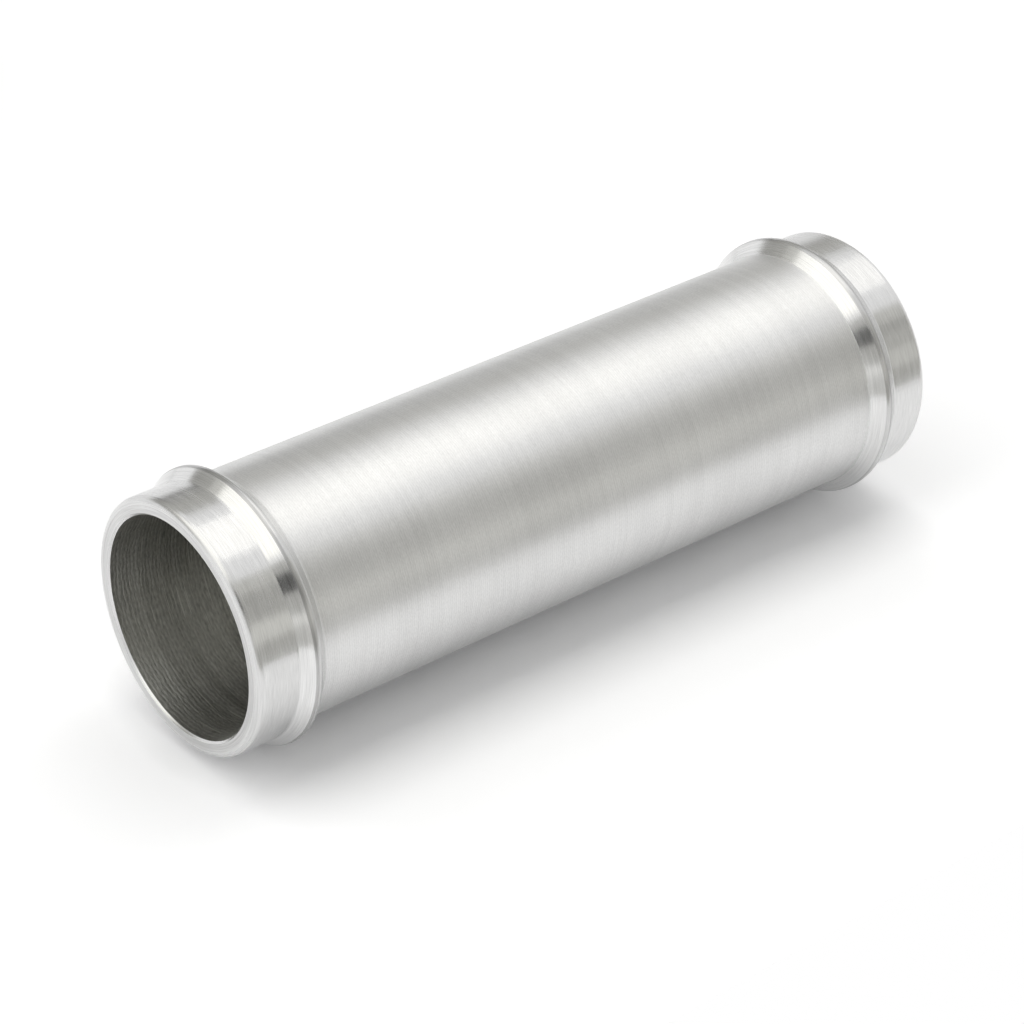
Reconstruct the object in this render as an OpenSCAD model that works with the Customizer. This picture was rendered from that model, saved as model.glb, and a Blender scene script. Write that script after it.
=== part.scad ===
// Hose joiner: a straight aluminium tube, turned in one piece, for joining two hoses of the same bore.
// The tube stands on one end face. Its axis is Z, and the origin is the middle of the lower face.
// Each end has a short plain land and a raised bead, and the two ends mirror each other.

/* [Tube] */
// Overall length, face to face
length = 102; // [50:1:200]
// Outside diameter of the middle section, where the hose grips
body_d = 30; // [16:0.5:60]
// Wall of the middle section, which also sets the bore
wall = 1.6; // [1:0.1:3]

/* [Ends] */
// How far the end lands stand above the middle section
land_rise = 0.5; // [0.2:0.1:0.8]
// From each end face to the foot of its bead
land_len = 5.5; // [2.5:0.1:14]
// Radius of the rounded outer edge of each end face
edge_r = 0.9; // [0.2:0.1:1.2]
// Leg of the 45 degree edge break at each mouth of the bore
bore_break = 0.25; // [0.1:0.05:0.6]

/* [Beads] */
// Height of each bead's crest above the middle section
bead_rise = 1.7; // [1.4:0.1:3]
// Width of each crest, before its two edges are rounded
crest_width = 0.6; // [0.6:0.1:2.4]
// Rise, for each millimetre along the tube, of the flank that a hose is pushed up
outer_slope = 0.75; // [0.6:0.05:1.2]
// Rise, for each millimetre along the tube, of the steeper flank that holds the hose
inner_slope = 1; // [0.7:0.05:1.4]
// Radius of the two edges of each crest
crest_edge_r = 0.6; // [0.1:0.1:0.7]
// Radius of the fillet between a land and its bead
land_fillet_r = 0.4; // [0.3:0.1:1.8]
// Radius of the fillet between the middle section and a bead
body_fillet_r = 0.5; // [0.2:0.1:1.8]

/* [Hidden] */
$fn = 180;
// How far a cutter or a corner piece reaches past the face that it meets
reach = 0.2;

body_r = body_d / 2;
bore_r = body_r - wall;
land_r = body_r + land_rise;
crest_r = body_r + bead_rise;

outer_angle = atan(outer_slope);
inner_angle = atan(inner_slope);

// Heights above the end face at which the outline turns, in the order that it passes them
crest_low_z = land_len + (crest_r - land_r) / outer_slope;
crest_high_z = crest_low_z + crest_width;
body_corner_z = crest_high_z + (crest_r - body_r) / inner_slope;

// Sharp-cornered outline of one land and its bead, as [radius, height], closed along the axis
end_outline = [
    [0, 0],
    [land_r, 0],
    [land_r, land_len],
    [crest_r, crest_low_z],
    [crest_r, crest_high_z],
    [body_r, body_corner_z],
    [0, body_corner_z],
];

// What is drawn for the lower end is repeated, mirrored, at the upper end
module both_ends(height) {
    children();
    translate([0, height]) mirror([0, 1]) children();
}

// The curved triangle between a corner and an arc that touches both of its sides.
// side_a and side_b are the directions, in degrees, in which the two sides leave the corner.
module corner_piece(corner, side_a, side_b, r) {
    half = (side_b - side_a) / 2;
    inwards = [cos(side_a + half), sin(side_a + half)];
    tangent = r / tan(half);
    centre = r / sin(half) * inwards;
    translate(corner) difference() {
        polygon([
            -reach * inwards,
            tangent * [cos(side_a), sin(side_a)],
            centre,
            tangent * [cos(side_b), sin(side_b)],
        ]);
        translate(centre) circle(r = r);
    }
}

// Half of the tube's lengthwise section, without its bore
module turned_outline() {
    difference() {
        union() {
            square([body_r, length]);
            both_ends(length) {
                polygon(end_outline);
                corner_piece([land_r, land_len], -90, 90 - outer_angle, land_fillet_r);
                corner_piece([body_r, body_corner_z], inner_angle - 90, 90, body_fillet_r);
            }
        }
        both_ends(length) {
            corner_piece([land_r, 0], 90, 180, edge_r);
            corner_piece([crest_r, crest_low_z], 90, 270 - outer_angle, crest_edge_r);
            corner_piece([crest_r, crest_high_z], 90 + inner_angle, 270, crest_edge_r);
        }
    }
}

// The through bore with its edge break at each mouth
module bore_cutter() {
    translate([0, 0, -reach]) cylinder(h = length + 2 * reach, r = bore_r);
    mouth_r = bore_r + bore_break;
    rotate_extrude() both_ends(length) polygon([
        [0, -reach],
        [mouth_r + reach, -reach],
        [bore_r - reach, bore_break + reach],
        [0, bore_break + reach],
    ]);
}

module joiner_tube() {
    color([0.79, 0.79, 0.77]) difference() {
        rotate_extrude() turned_outline();
        bore_cutter();
    }
}

joiner_tube();
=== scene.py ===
import bpy
import numpy as np
from mathutils import Matrix, Vector


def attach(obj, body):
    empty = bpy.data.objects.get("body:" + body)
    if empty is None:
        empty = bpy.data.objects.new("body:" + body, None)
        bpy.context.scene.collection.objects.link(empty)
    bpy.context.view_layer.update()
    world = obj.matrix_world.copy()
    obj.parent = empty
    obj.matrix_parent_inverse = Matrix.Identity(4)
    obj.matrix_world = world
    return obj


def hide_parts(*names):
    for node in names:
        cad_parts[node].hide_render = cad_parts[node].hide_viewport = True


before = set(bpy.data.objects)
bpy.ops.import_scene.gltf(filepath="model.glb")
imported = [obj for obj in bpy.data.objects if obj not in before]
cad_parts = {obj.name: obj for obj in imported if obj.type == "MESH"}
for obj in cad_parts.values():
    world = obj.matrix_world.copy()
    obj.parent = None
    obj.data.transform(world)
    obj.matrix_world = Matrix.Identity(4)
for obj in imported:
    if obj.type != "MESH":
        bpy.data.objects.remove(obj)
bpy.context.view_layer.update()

# The tube
# One straight aluminium tube, turned all over on a lathe from thick pipe. Each end has a short plain
# land and a raised bead that a hose is pushed over. Lengths are in millimetres up to the mesh.
LENGTH = 102.0
BODY_R = 15.0
BORE_R = 13.4
LAND_R = 15.5
CREST_R = 16.7
EDGE_R = 0.9
LAND_LENGTH = 5.5
BORE_BREAK = 0.25
CREST_WIDTH = 0.6
OUTER_SLOPE = 0.75
INNER_SLOPE = 1.0
CREST_EDGE_R = 0.6
LAND_FILLET_R = 0.4
BODY_FILLET_R = 0.5

crest_low = LAND_LENGTH + (CREST_R - LAND_R) / OUTER_SLOPE
crest_high = crest_low + CREST_WIDTH
body_corner = crest_high + (CREST_R - BODY_R) / INNER_SLOPE

# The finishes, in the order in which they are made further down
BODY, LAND, BEAD, FACE, EDGE, BORE, CREST, CREST_EDGE = range(8)

# Sharp corners of the section at one end, from the bore to the middle section: radius, height, rounding,
# the finish of the rounding, and the finish of the straight stretch that follows it
end_corners = [
    (BORE_R, BORE_BREAK, 0, EDGE, EDGE),
    (BORE_R + BORE_BREAK, 0, 0, EDGE, FACE),
    (LAND_R, 0, EDGE_R, EDGE, LAND),
    (LAND_R, LAND_LENGTH, LAND_FILLET_R, LAND, BEAD),
    (CREST_R, crest_low, CREST_EDGE_R, CREST_EDGE, CREST),
    (CREST_R, crest_high, CREST_EDGE_R, CREST, BEAD),
    (BODY_R, body_corner, BODY_FILLET_R, BODY, BODY),
]
# The other end is the mirror image, so each of its stretches has the finish of the one before the corner
far_corners = [
    (radius, LENGTH - height, rounding, finish, end_corners[i - 1][4] if i else BORE)
    for i, (radius, height, rounding, finish, after) in reversed(list(enumerate(end_corners)))
]

# How finely the section is cut: degrees of an arc, and millimetres of a straight stretch
ARC_STEP = 5
FLAT_MARGIN = 0.06
FLAT_STEP = 6


def rounded(before, corner, after, radius):
    """The arc that replaces a corner. With u and v the unit directions to the neighbours and h half the
    angle between them, it starts and ends radius / tan(h) from the corner, and its centre is on the
    bisector at radius / sin(h). Points are the centre plus radius times the turn from one end to the
    other, in steps of at most ARC_STEP degrees."""
    if radius == 0:
        return corner[None]
    u = (before - corner) / np.linalg.norm(before - corner)
    v = (after - corner) / np.linalg.norm(after - corner)
    half = np.arccos(np.clip(u @ v, -1, 1)) / 2
    centre = corner + radius / np.sin(half) * (u + v) / np.linalg.norm(u + v)
    start = (corner + radius / np.tan(half) * u - centre) / radius
    end = (corner + radius / np.tan(half) * v - centre) / radius
    whole = np.pi - 2 * half
    turned = np.linspace(0, whole, 1 + int(np.ceil(np.degrees(whole) / ARC_STEP)))[:, None]
    return centre + radius * (np.sin(whole - turned) * start + np.sin(turned) * end) / np.sin(whole)


def straight(start, end):
    """The inner points of a straight stretch: one a FLAT_MARGIN from each end, so that smooth shading stays
    flat between them, or at a quarter where the stretch is short, and the rest about a FLAT_STEP apart."""
    run = np.linalg.norm(end - start)
    margin = min(FLAT_MARGIN, run / 4)
    along = np.linspace(margin, run - margin, 2 + int(run / FLAT_STEP)) / run
    return start + along[:, None] * (end - start)


corners = end_corners + far_corners
places = np.array([(radius, height) for radius, height, rounding, finish, after in corners])
arcs = [
    rounded(places[i - 1], places[i], places[(i + 1) % len(places)], corners[i][2])
    for i in range(len(places))
]
section, row_finish = [], []
for i, arc in enumerate(arcs):
    flat = straight(arc[-1], arcs[(i + 1) % len(arcs)][0])
    section += [arc, flat]
    row_finish += [corners[i][3]] * (len(arc) - 1) + [corners[i][4]] * (len(flat) + 1)
section, row_finish = np.concatenate(section), np.array(row_finish)
next_row = np.roll(section, -1, axis=0)
row_along = np.concatenate([[0.0], np.cumsum(np.linalg.norm(next_row - section, axis=1))])
rows = len(section)

# Facets round the tube, and millimetres in a metre
AROUND = 320
METRE = 1000


def turned_mesh(name, section, around):
    """A closed section turned about Z: row i, column j is at (r_i cos a_j, r_i sin a_j, z_i), with a_j in
    even steps. Each face joins two rows and two columns, the last of each to the first."""
    rows = len(section)
    angle = 2 * np.pi * np.arange(around) / around
    ring = np.column_stack([np.cos(angle), np.sin(angle)])
    points = np.empty((rows, around, 3))
    points[:, :, :2] = section[:, None, :1] * ring[None]
    points[:, :, 2] = section[:, None, 1]
    i, j = np.meshgrid(np.arange(rows), np.arange(around), indexing="ij")
    up, on = (i + 1) % rows, (j + 1) % around
    faces = np.stack([i * around + j, i * around + on, up * around + on, up * around + j], axis=-1)
    mesh = bpy.data.meshes.new(name)
    mesh.from_pydata(points.reshape(-1, 3) / METRE, [], faces.reshape(-1, 4))
    return mesh


tube_mesh = turned_mesh("joiner_tube", section, AROUND)
tube_mesh.polygons.foreach_set("use_smooth", np.ones(rows * AROUND, dtype=bool))
tube_mesh.polygons.foreach_set("material_index", np.repeat(row_finish, AROUND).astype(np.int32))

# Distance round the circle and along the section, as a map in which one unit is this much metal, so that
# the whole surface fits the map once
MAP_UNIT = 250.0
corner_row = np.repeat(np.arange(rows), AROUND)[:, None] + np.array([0, 0, 1, 1])
corner_column = np.tile(np.arange(AROUND), rows)[:, None] + np.array([0, 1, 1, 0])
girth = 2 * np.pi * LAND_R
wrap = np.stack([corner_column / AROUND * girth, row_along[corner_row]], axis=-1) / MAP_UNIT
tube_mesh.uv_layers.new(name="wrap").data.foreach_set("uv", wrap.ravel().astype(np.float32))

# Shading breaks only where the section has a true corner, of more than this many degrees: both sides of
# each edge break
SHARP_BEND = 30
turn = next_row - section
turn /= np.linalg.norm(turn, axis=1)[:, None]
bend = np.degrees(np.arccos(np.clip(np.sum(turn * np.roll(turn, 1, axis=0), axis=1), -1, 1)))
edge_points = np.empty(len(tube_mesh.edges) * 2, dtype=np.int32)
tube_mesh.edges.foreach_get("vertices", edge_points)
edge_rows = edge_points.reshape(-1, 2) // AROUND
sharp = (edge_rows[:, 0] == edge_rows[:, 1]) & (bend[edge_rows[:, 0]] > SHARP_BEND)
tube_mesh.edges.foreach_set("use_edge_sharp", sharp)
tube_mesh.validate()
tube_mesh.update()

tube = bpy.data.objects.new("joiner_tube_turned", tube_mesh)
bpy.context.scene.collection.objects.link(tube)


def math_node(tree, operation, first, second=None):
    """One Math node. A number is set on its socket, and another node's output is linked to it."""
    node = tree.nodes.new("ShaderNodeMath")
    node.operation = operation
    for socket, source in zip(node.inputs, (first, second)):
        if isinstance(source, (int, float)):
            socket.default_value = source
        elif source is not None:
            tree.links.new(source, socket)
    return node.outputs[0]


def ramp(tree, source, taken, given):
    """One Map Range node: the source goes evenly from the taken range to the given one, and stays in it."""
    node = tree.nodes.new("ShaderNodeMapRange")
    for name, number in zip(("From Min", "From Max", "To Min", "To Max"), (*taken, *given)):
        node.inputs[name].default_value = number
    tree.links.new(source, node.inputs["Value"])
    return node.outputs["Result"]


def turning_marks():
    """Marks that a lathe leaves, for every surface of the tube. The pattern lives on a direction round the
    axis, d = (x, y) / |(x, y)|, and on a = the distance along the section in mm, so that it closes round
    the tube and runs over faces, lands and bore alike:
    Grain is noise at (d * times round, a / width), the fine lines that the tool leaves;
    Rings is noise at (d / 2, 0.17 a / width), which makes whole rings smoother or rougher;
    Feed is sin(2 pi a / feed + 9 noise at (8 d, 0.8 a)), the tool's passes, a little uneven;
    Chatter is noise at (32 d, a / 30), faint lines along the tube;
    Scores And Glints is noise at (1.5 d, 5 a), whose few highest places are arcs that the tool's edge
    scored; the finishes draw them lighter, which partly paints the glints off them;
    Cloud is noise in space, 12 mm across, for handling and dull patches."""
    group = bpy.data.node_groups.new("turning_marks", "ShaderNodeTree")
    for name, usual in (("Width", 0.15), ("Times Round", 6.0), ("Feed Pitch", 0.35)):
        socket = group.interface.new_socket(name, in_out="INPUT", socket_type="NodeSocketFloat")
        socket.default_value = usual
    for name in ("Grain", "Rings", "Feed", "Chatter", "Scores And Glints", "Cloud"):
        group.interface.new_socket(name, in_out="OUTPUT", socket_type="NodeSocketFloat")
    nodes, links = group.nodes, group.links
    given, result = nodes.new("NodeGroupInput"), nodes.new("NodeGroupOutput")

    def vector(operation, source):
        node = nodes.new("ShaderNodeVectorMath")
        node.operation = operation
        links.new(source, node.inputs[0])
        return node

    def noise(times_round, along, detail, roughness):
        """Noise at (d * times_round, along)."""
        scaled = vector("SCALE", round_axis.outputs["Vector"])
        if isinstance(times_round, float):
            scaled.inputs["Scale"].default_value = times_round
        else:
            links.new(times_round, scaled.inputs["Scale"])
        raised = nodes.new("ShaderNodeCombineXYZ")
        links.new(along, raised.inputs["Z"])
        joined = vector("ADD", scaled.outputs["Vector"])
        links.new(raised.outputs["Vector"], joined.inputs[1])
        texture = nodes.new("ShaderNodeTexNoise")
        texture.inputs["Scale"].default_value = 1
        texture.inputs["Detail"].default_value = detail
        texture.inputs["Roughness"].default_value = roughness
        links.new(joined.outputs["Vector"], texture.inputs["Vector"])
        return texture.outputs["Fac"]

    place = nodes.new("ShaderNodeTexCoord")
    flat = vector("MULTIPLY", place.outputs["Object"])
    flat.inputs[1].default_value = (1, 1, 0)
    round_axis = vector("NORMALIZE", flat.outputs["Vector"])
    wrap_map = nodes.new("ShaderNodeUVMap")
    wrap_map.uv_map = "wrap"
    split = nodes.new("ShaderNodeSeparateXYZ")
    links.new(wrap_map.outputs["UV"], split.inputs["Vector"])
    along_mm = math_node(group, "MULTIPLY", split.outputs["Y"], MAP_UNIT)

    def stretched(times):
        return math_node(group, "MULTIPLY", along_mm, times)

    fine = math_node(group, "DIVIDE", along_mm, given.outputs["Width"])
    links.new(noise(given.outputs["Times Round"], fine, 2.0, 0.55), result.inputs["Grain"])
    links.new(noise(0.5, math_node(group, "MULTIPLY", fine, 0.17), 2.0, 0.6), result.inputs["Rings"])
    drift = math_node(group, "MULTIPLY", noise(8.0, stretched(0.8), 2.0, 0.5), 9.0)
    feeds = math_node(group, "DIVIDE", along_mm, given.outputs["Feed Pitch"])
    passes = math_node(group, "ADD", math_node(group, "MULTIPLY", feeds, 2 * np.pi), drift)
    links.new(math_node(group, "SINE", passes), result.inputs["Feed"])
    links.new(noise(32.0, stretched(0.033), 3.0, 0.6), result.inputs["Chatter"])
    links.new(noise(1.5, stretched(5.0), 1.0, 0.5), result.inputs["Scores And Glints"])
    cloud = nodes.new("ShaderNodeTexNoise")
    cloud.inputs["Scale"].default_value = 85
    cloud.inputs["Detail"].default_value = 3
    links.new(place.outputs["Object"], cloud.inputs["Vector"])
    links.new(cloud.outputs["Fac"], result.inputs["Cloud"])
    return group


marks = turning_marks()

# The values between which a mark does its work. Feed and Scores And Glints have their own. For the others,
# tone and roughness follow the middle of the noise, where most of it lies, and heights follow the whole.
OWN_RANGE = {"Feed": (-1, 1), "Scores And Glints": (0.66, 0.76)}
MIDDLE = (0.3, 0.7)
WHOLE = (0, 1)
# How much of the tone follows the tool's passes, where these have a height
PASS_SHARE = 0.2


def turned_metal(
    name, tone, warmth, spread, roughness, anisotropy, width, times_round, feed, heights, scores_and_glints=0.0
):
    """Bare aluminium with turning marks. Tone is the grey of the metal, warmth how much less blue it has and
    spread how far the marks move the tone; scores_and_glints is how far the scored arcs take it from the
    darkest tone to the lightest, a lighter metal that partly paints the glints off them; roughness is a low
    and a high value; heights, in millimetres, are those of grain, rings, feed and chatter. The blur of what
    the metal mirrors runs along the section."""
    material = bpy.data.materials.new(name)
    material.use_nodes = True
    tree = material.node_tree
    nodes, links = tree.nodes, tree.links
    shader = nodes["Principled BSDF"]
    shader.inputs["Metallic"].default_value = 1
    shader.inputs["Anisotropic"].default_value = anisotropy
    shader.inputs["Anisotropic Rotation"].default_value = 0.25
    tangent = nodes.new("ShaderNodeTangent")
    tangent.direction_type = "RADIAL"
    tangent.axis = "Z"
    links.new(tangent.outputs["Tangent"], shader.inputs["Tangent"])

    pattern = nodes.new("ShaderNodeGroup")
    pattern.node_tree = marks
    pattern.inputs["Width"].default_value = width
    pattern.inputs["Times Round"].default_value = times_round
    pattern.inputs["Feed Pitch"].default_value = feed

    def total(usual, shares):
        """Sum of the marks, each taken from the usual range, or from its own, to 0..its share. A mark
        without a share is left out."""
        whole = None
        for mark, share in shares.items():
            if share:
                part = ramp(tree, pattern.outputs[mark], OWN_RANGE.get(mark, usual), (0, share))
                whole = part if whole is None else math_node(tree, "ADD", whole, part)
        return whole

    grain, rings, passes, chatter = heights
    pass_share = PASS_SHARE if passes else 0.0
    shade = total(
        MIDDLE,
        {"Grain": 0.6 - pass_share, "Rings": 0.2, "Cloud": 0.2, "Feed": pass_share, "Scores And Glints": scores_and_glints},
    )
    tint = nodes.new("ShaderNodeMix")
    tint.data_type = "RGBA"
    share, darkest, lightest = tint.inputs[0], tint.inputs[6], tint.inputs[7]
    for socket, grey in ((darkest, tone - spread), (lightest, tone + spread)):
        socket.default_value = (grey, grey * (1 - warmth / 12), grey * (1 - warmth), 1)
    links.new(shade, share)
    links.new(tint.outputs[2], shader.inputs["Base Color"])

    dulling = total(MIDDLE, {"Rings": 0.6, "Cloud": 0.4})
    links.new(ramp(tree, dulling, WHOLE, roughness), shader.inputs["Roughness"])

    bump = nodes.new("ShaderNodeBump")
    bump.inputs["Strength"].default_value = 1
    bump.inputs["Distance"].default_value = 1 / METRE
    relief = total(WHOLE, {"Grain": grain, "Rings": rings, "Feed": passes, "Chatter": chatter})
    links.new(relief, bump.inputs["Height"])
    links.new(bump.outputs["Normal"], shader.inputs["Normal"])
    return material


# Middle section: satin, with fine even marks. Lands: finer. Bead flanks: close to polished. End faces:
# faced on the lathe. Edges: run over with a tool. Bore: bored at a coarser feed and never polished.
# Bead crests: a darker tone, darkest on the rounded edge towards the tube's end.
for finish in (
    turned_metal(
        "satin_middle", tone=0.75, warmth=0.004, spread=0.13, roughness=(0.42, 0.48), anisotropy=0.8,
        width=0.10, times_round=42.0, feed=0.3, heights=(0.003, 0.0010, 0.0002, 0.0),
    ),
    turned_metal(
        "smooth_land", tone=0.69, warmth=0.004, spread=0.09, roughness=(0.20, 0.30), anisotropy=0.8,
        width=0.10, times_round=7.0, feed=0.3, heights=(0.0012, 0.0012, 0.0, 0.006),
    ),
    turned_metal(
        "polished_bead", tone=0.74, warmth=0.004, spread=0.11, roughness=(0.16, 0.25), anisotropy=0.7,
        width=0.09, times_round=3.0, feed=0.3, heights=(0.0014, 0.0018, 0.0, 0.001),
    ),
    turned_metal(
        "faced_end", tone=0.62, warmth=0.004, spread=0.16, roughness=(0.30, 0.40), anisotropy=0.7,
        width=0.08, times_round=2.5, feed=0.3, heights=(0.0022, 0.0040, 0.0, 0.0),
    ),
    turned_metal(
        "broken_edge", tone=0.68, warmth=0.004, spread=0.12, roughness=(0.22, 0.32), anisotropy=0.6,
        width=0.08, times_round=3.0, feed=0.3, heights=(0.0012, 0.0022, 0.0, 0.0),
    ),
    # The bore's scored arcs are drawn lighter in tone: real scores, and partly a painted highlight for the
    # glints off them.
    turned_metal(
        "bored_wall", tone=0.69, warmth=0.05, spread=0.29, roughness=(0.27, 0.37), anisotropy=0.6,
        width=0.19, times_round=22.0, feed=0.50, heights=(0.022, 0.004, 0.010, 0.0), scores_and_glints=0.8,
    ),
    # Crests and their outer rounded edges: darker tones, of unknown cause.
    turned_metal(
        "darker_crest", tone=0.59, warmth=0.004, spread=0.10, roughness=(0.22, 0.32), anisotropy=0.7,
        width=0.09, times_round=4.0, feed=0.3, heights=(0.0014, 0.0018, 0.0, 0.001),
    ),
    turned_metal(
        "darkest_crest_edge", tone=0.46, warmth=0.004, spread=0.10, roughness=(0.24, 0.34), anisotropy=0.7,
        width=0.09, times_round=4.0, feed=0.3, heights=(0.0014, 0.0018, 0.0, 0.001),
    ),
):
    tube_mesh.materials.append(finish)

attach(tube, "root")
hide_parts("joiner_tube")

# The floor
# A sheet of plain white card that the tube lies on, touching both beads. The tube's own frame stands it
# on its end, so the card's face is turned towards -Y, and it shows nothing from behind.
FLOOR_Y = CREST_R / METRE


def sheet_mesh(name, centre, side_a, side_b):
    """A flat rectangle: its corners are the centre plus and minus side_a plus and minus side_b."""
    centre, side_a, side_b = np.array(centre), np.array(side_a), np.array(side_b)
    signs = np.array([[-1, -1], [1, -1], [1, 1], [-1, 1]])
    mesh = bpy.data.meshes.new(name)
    mesh.from_pydata(centre + signs[:, :1] * side_a + signs[:, 1:] * side_b, [], [[0, 1, 2, 3]])
    return mesh


def looked_at(tree):
    """1 where a camera, glossy or transmission ray arrives, so that the picture and the metal show a white
    studio, and 0 for the rays that light things."""
    path = tree.nodes.new("ShaderNodeLightPath")
    either = math_node(tree, "MAXIMUM", path.outputs["Is Camera Ray"], path.outputs["Is Glossy Ray"])
    return math_node(tree, "MAXIMUM", either, path.outputs["Is Transmission Ray"])


floor_mesh = sheet_mesh("floor", (0.315, FLOOR_Y, 0.05), (0.385, 0, 0), (0, 0, 0.6))
floor = bpy.data.objects.new("floor", floor_mesh)
bpy.context.scene.collection.objects.link(floor)
card = bpy.data.materials.new("white_card")
card.use_nodes = True
tree = card.node_tree
nodes, links = tree.nodes, tree.links
nodes.clear()
output = nodes.new("ShaderNodeOutputMaterial")
diffuse = nodes.new("ShaderNodeBsdfDiffuse")
# a shade cool, which evens out the warm lamp
diffuse.inputs["Color"].default_value = (0.976, 0.978, 0.985, 1)

# Where it is looked at, the card is lifted to white away from the tube, and not at all close to it, where
# the tube's shadow lies. This lift is painted light: a glow whose ramps set how wide and soft the tube's
# shadow on the card looks, a painted shadow edge, in the picture and in what the metal mirrors. Each row
# gives an axis, the tube's middle on it, the distances at which the lift starts and is whole, the curve
# between them, and how much of the lift it makes up.
LIFT = 0.28
MOST_LIFT = 1.15
place = nodes.new("ShaderNodeTexCoord")
apart = nodes.new("ShaderNodeSeparateXYZ")
links.new(place.outputs["Object"], apart.inputs["Vector"])
painted_glow_ramp = None
for axis, middle, near, far, curve, most in (
    ("X", 0.0, 0.002, 0.034, 1.0, 1.0),
    ("Z", LENGTH / METRE / 2, 0.029, 0.055, 3.5, MOST_LIFT),
):
    distance = math_node(tree, "ABSOLUTE", math_node(tree, "SUBTRACT", apart.outputs[axis], middle))
    bent = math_node(tree, "POWER", ramp(tree, distance, (near, far), (0, 1)), curve)
    part = math_node(tree, "MULTIPLY", bent, most)
    painted_glow_ramp = part if painted_glow_ramp is None else math_node(tree, "ADD", painted_glow_ramp, part)
share = math_node(tree, "MINIMUM", painted_glow_ramp, MOST_LIFT)
# painted light: the glow that lifts the card, held back round the tube to shape its shadow
lift = nodes.new("ShaderNodeEmission")
lift.inputs["Color"].default_value = (1, 1, 1, 1)
amount = math_node(tree, "MULTIPLY", looked_at(tree), LIFT)
links.new(math_node(tree, "MULTIPLY", amount, share), lift.inputs["Strength"])
lifted = nodes.new("ShaderNodeAddShader")
links.new(diffuse.outputs["BSDF"], lifted.inputs[0])
links.new(lift.outputs["Emission"], lifted.inputs[1])
see_through = nodes.new("ShaderNodeBsdfTransparent")
geometry = nodes.new("ShaderNodeNewGeometry")
side = nodes.new("ShaderNodeMixShader")
links.new(geometry.outputs["Backfacing"], side.inputs["Fac"])
links.new(lifted.outputs["Shader"], side.inputs[1])
links.new(see_through.outputs["BSDF"], side.inputs[2])
links.new(side.outputs["Shader"], output.inputs["Surface"])
floor.data.materials.append(card)

# The light
# One long softbox over the tube, in a white room. Plain grey sheets stand round the tube for its metal to
# mirror, one of them almost black and one brighter than white. Nothing else sees or is lit by them.
SOFTBOX_WIDTH = 0.32
SOFTBOX_LENGTH = 1.5
SOFTBOX_GLOW = 1.47
softbox = bpy.data.lights.new("softbox", "AREA")
softbox.shape = "RECTANGLE"
softbox.size, softbox.size_y = SOFTBOX_WIDTH, SOFTBOX_LENGTH
softbox.energy = np.pi * SOFTBOX_WIDTH * SOFTBOX_LENGTH * SOFTBOX_GLOW
softbox.color = (1, 0.992, 0.965)
softbox_stand = bpy.data.objects.new("softbox", softbox)
bpy.context.scene.collection.objects.link(softbox_stand)
# The lamp shines along its own -Z, which is turned to +Y, down to the card; its length runs along the tube
softbox_stand.matrix_world = Matrix.Translation((0.030, -0.5, 0.3)) @ Matrix(
    ((1, 0, 0, 0), (0, 0, -1, 0), (0, 1, 0, 0), (0, 0, 0, 1))
)


def grey_sheet(name, grey, centre, side_a, side_b):
    """A sheet of one grey, a little warm, that shows in what mirrors it and nowhere else. The sides are
    half as long as the sheet, as in sheet_mesh."""
    sheet = bpy.data.objects.new(name, sheet_mesh(name, centre, side_a, side_b))
    bpy.context.scene.collection.objects.link(sheet)
    paint = bpy.data.materials.new(name)
    paint.use_nodes = True
    nodes, links = paint.node_tree.nodes, paint.node_tree.links
    nodes.clear()
    output = nodes.new("ShaderNodeOutputMaterial")
    glow = nodes.new("ShaderNodeEmission")
    glow.inputs["Color"].default_value = (grey, grey * 0.992, grey * 0.94, 1)
    links.new(glow.outputs["Emission"], output.inputs["Surface"])
    sheet.data.materials.append(paint)
    sheet.visible_camera = sheet.visible_diffuse = sheet.visible_shadow = False


# On the camera's side, for the bands along the side of the tube that faces the camera
grey_sheet("near_wall_foot", 0.50, (-0.9, 0.30, -0.6), (0, 0.30, 0), (0, 0, 1.6))
grey_sheet("near_wall_low", 0.78, (-0.9, -0.14, -0.6), (0, 0.14, 0), (0, 0, 1.6))
grey_sheet("near_wall_middle", 0.46, (-0.9, -0.545, -0.6), (0, 0.265, 0), (0, 0, 1.6))
grey_sheet("near_wall_low_end", 0.62, (-0.89, -0.14, -1.2), (0, 0.14, 0), (0, 0, 0.5))
grey_sheet("near_wall_middle_end", 0.60, (-0.89, -0.41, -1.2), (0, 0.13, 0), (0, 0, 0.5))
grey_sheet("near_wall_high", 0.64, (-0.9, -1.045, -0.6), (0, 0.235, 0), (0, 0, 1.6))
# Over the tube: the softbox's dark back, and a bright card for the bead flanks
half_width, half_length = SOFTBOX_WIDTH / 2, SOFTBOX_LENGTH / 2
grey_sheet("softbox_back", 0.0, (0.030, -0.52, 0.3), (half_width, 0, 0), (0, 0, half_length))
grey_sheet("bright_card", 1.45, (0.105, -0.495, 0.625), (0.355, 0, 0), (0, 0, 0.305))
# Beside the camera, for the dark spot on the bead flanks and the grey above and below it
grey_sheet("dark_card", 0.04, (-0.2816, -0.2149, 0.45), (0.0370, -0.0404, 0), (0, 0, 0.17))
grey_sheet("dark_card_over", 0.46, (-0.2214, -0.2806, 0.45), (0.0231, -0.0252, 0), (0, 0, 0.17))
grey_sheet("dark_card_under", 0.46, (-0.3695, -0.1190, 0.45), (0.0509, -0.0555, 0), (0, 0, 0.17))
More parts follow.
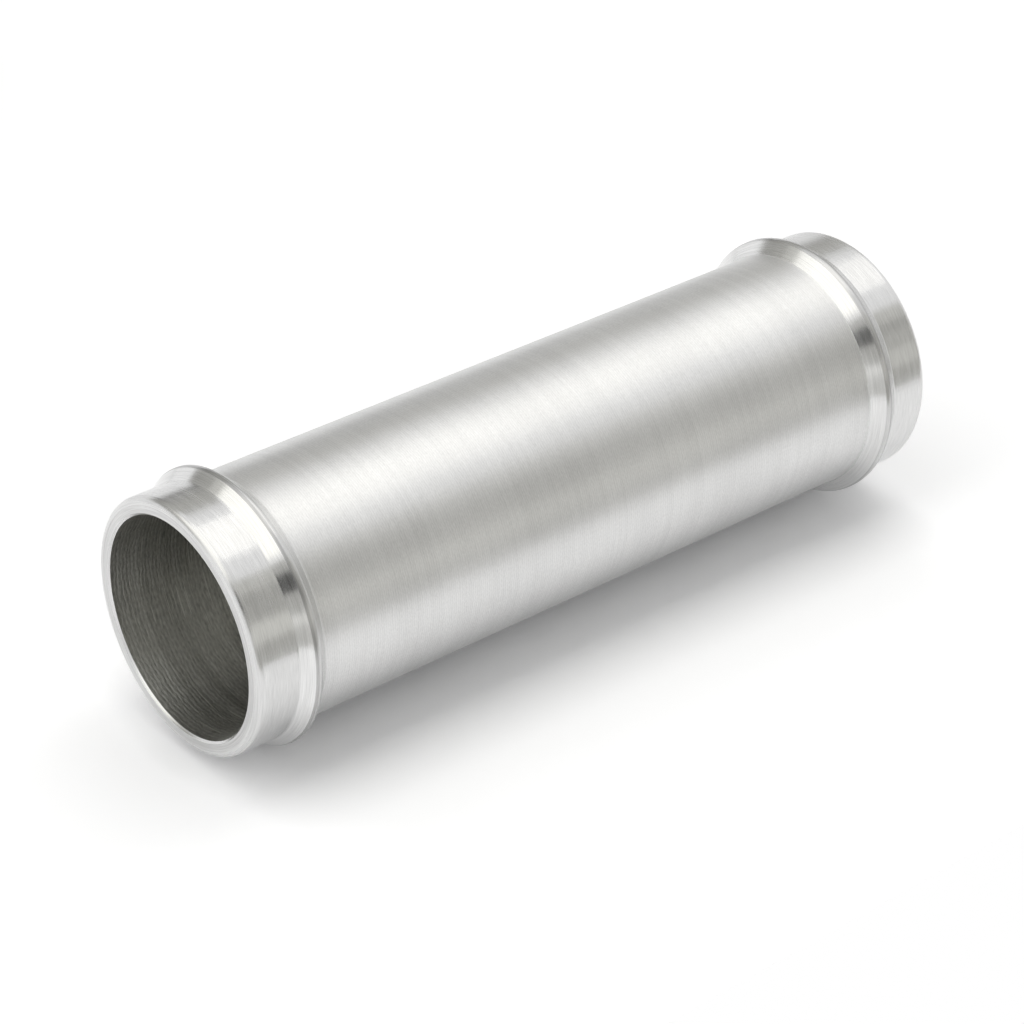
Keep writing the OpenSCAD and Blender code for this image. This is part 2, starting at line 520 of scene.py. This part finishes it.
# On the far side, for the dark band along the top of the tube
grey_sheet("far_wall_foot", 0.16, (0.89, -0.31, -0.30), (0, 0.08, 0), (0, 0, 0.155))
grey_sheet("far_wall_low", 0.36, (0.9, -0.45, 0.2), (0, 0.11, 0), (0, 0, 2.2))
grey_sheet("far_wall_low_end", 0.36, (0.89, -0.305, 0.30), (0, 0.035, 0), (0, 0, 0.14))
grey_sheet("far_wall_top", 0.42, (0.89, -0.58, 0.43), (0, 0.20, 0), (0, 0, 0.10))
grey_sheet("far_wall_top_end", 0.68, (0.885, -0.80, 0.60), (0, 0.15, 0), (0, 0, 0.14))
grey_sheet("far_wall_high", 0.52, (0.9, -0.84, 0.2), (0, 0.28, 0), (0, 0, 2.2))

ROOM_LIGHT = 0.4
world = bpy.data.worlds.new("room")
bpy.context.scene.world = world
world.use_nodes = True
nodes, links = world.node_tree.nodes, world.node_tree.links
nodes.clear()
output = nodes.new("ShaderNodeOutputWorld")
seen = nodes.new("ShaderNodeBackground")
seen.inputs["Color"].default_value = (1, 1, 1, 1)
lit = nodes.new("ShaderNodeBackground")
lit.inputs["Color"].default_value = (ROOM_LIGHT, ROOM_LIGHT, ROOM_LIGHT, 1)
mix = nodes.new("ShaderNodeMixShader")
links.new(looked_at(world.node_tree), mix.inputs["Fac"])
links.new(lit.outputs["Background"], mix.inputs[1])
links.new(seen.outputs["Background"], mix.inputs[2])
links.new(mix.outputs["Shader"], output.inputs["Surface"])

# The camera
# At the photograph's viewing angle: 31 degrees above the card, off the tube's upper end, which is the
# near end in the picture. Up in the picture is -Y. Place and lens were fitted to the tube's outline.
eye = Vector((-0.26402, -0.20567, 0.27233))
target = Vector((-0.00173, 0.00218, 0.05520))
back = (eye - target).normalized()
right = Vector((0, -1, 0)).cross(back).normalized()
up = back.cross(right)
camera_data = bpy.data.cameras.new("camera")
camera_data.sensor_width = 36
camera_data.lens = 118.64
camera_data.clip_start, camera_data.clip_end = 0.01, 20
camera = bpy.data.objects.new("camera", camera_data)
bpy.context.scene.collection.objects.link(camera)
camera.matrix_world = Matrix.Translation(eye) @ Matrix((right, up, back)).transposed().to_4x4()
bpy.context.scene.camera = camera
bpy.context.scene.view_settings.view_transform = "Standard"
